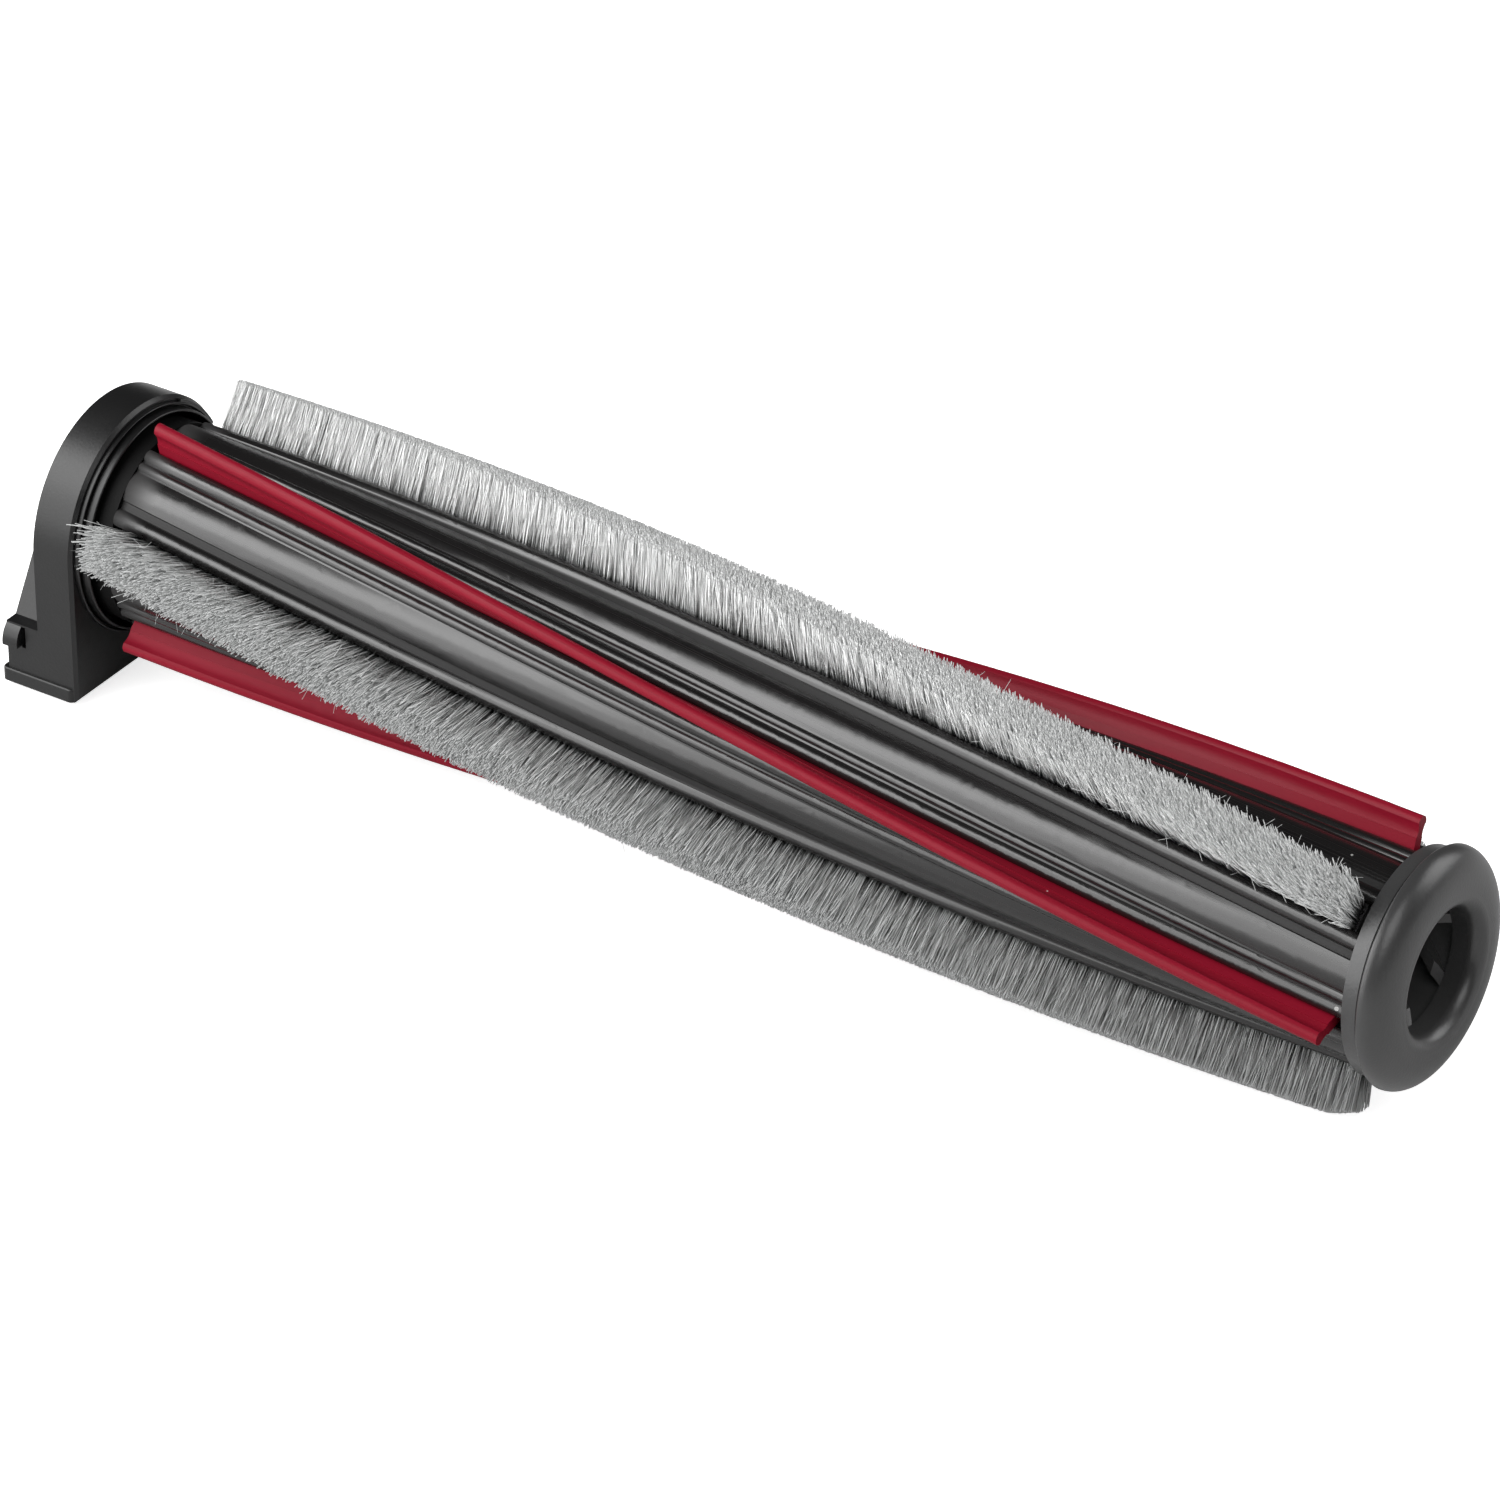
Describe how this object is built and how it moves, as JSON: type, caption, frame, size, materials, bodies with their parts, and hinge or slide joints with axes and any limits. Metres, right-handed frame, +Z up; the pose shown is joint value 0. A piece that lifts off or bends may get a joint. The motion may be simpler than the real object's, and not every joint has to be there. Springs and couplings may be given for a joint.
{
  "type": "vacuum roller brush",
  "caption": "Roller brush for a vacuum floor head: a twisted core with bristle and rubber strips, a splined drive socket and a bearing end housing.",
  "frame": {"origin": "on the spin axis, at the mouth of the drive socket's bore", "axes": "+X along the spin axis and out of the drive socket, +Z up as the brush lies on its foot"},
  "size_m": [0.2276, 0.0462, 0.0458],
  "materials": {
    "housing_plastic": "satin",
    "guard_plastic": "satin",
    "cap_plastic": "satin",
    "plug_plastic": "matt",
    "core_plastic": "glossy",
    "wiper_rubber": "satin",
    "backing_nylon": "matt",
    "bristle_nylon": "soft pile",
    "bearing_steel": "ground",
    "spring_steel": "blackened",
    "axle_steel": "ground",
    "cage_nylon": "matt",
    "washer_nylon": "matt"
  },
  "bodies": {
    "housing": {"end_housing": "housing_plastic", "hair_guard_ring": "guard_plastic", "bearing_outer_ring": "bearing_steel", "bearing_shield_inboard": "bearing_steel", "bearing_shield_outboard": "bearing_steel", "bearing_circlip": "spring_steel"},
    "ball_cage": {"bearing_cage": "cage_nylon", "bearing_balls": "bearing_steel"},
    "roller": {"roller_core": "core_plastic", "wiper_strip_1": "wiper_rubber", "wiper_strip_2": "wiper_rubber", "wiper_strip_3": "wiper_rubber", "bristle_backing_1": "backing_nylon", "bristle_backing_2": "backing_nylon", "bristle_backing_3": "backing_nylon", "bristle_pile_1": "bristle_nylon", "bristle_pile_2": "bristle_nylon", "bristle_pile_3": "bristle_nylon", "drive_end_cap": "cap_plastic", "bearing_end_plug": "plug_plastic", "axle_pin": "axle_steel", "axle_clip": "spring_steel", "thrust_washer": "washer_nylon", "bearing_inner_ring": "bearing_steel"}
  },
  "joints": [
    {"name": "roller_spin", "type": "hinge", "parent": "housing", "child": "roller", "pos_m": [-0.2192, 0, 0], "axis": [1, 0, 0], "continuous": true},
    {"name": "cage_spin", "type": "hinge", "parent": "housing", "child": "ball_cage", "pos_m": [-0.2192, 0, 0], "axis": [1, 0, 0], "continuous": true}
  ],
  "couplings": [
    {"joint": "cage_spin", "follows": "roller_spin", "ratio": 0.3947}
  ]
}
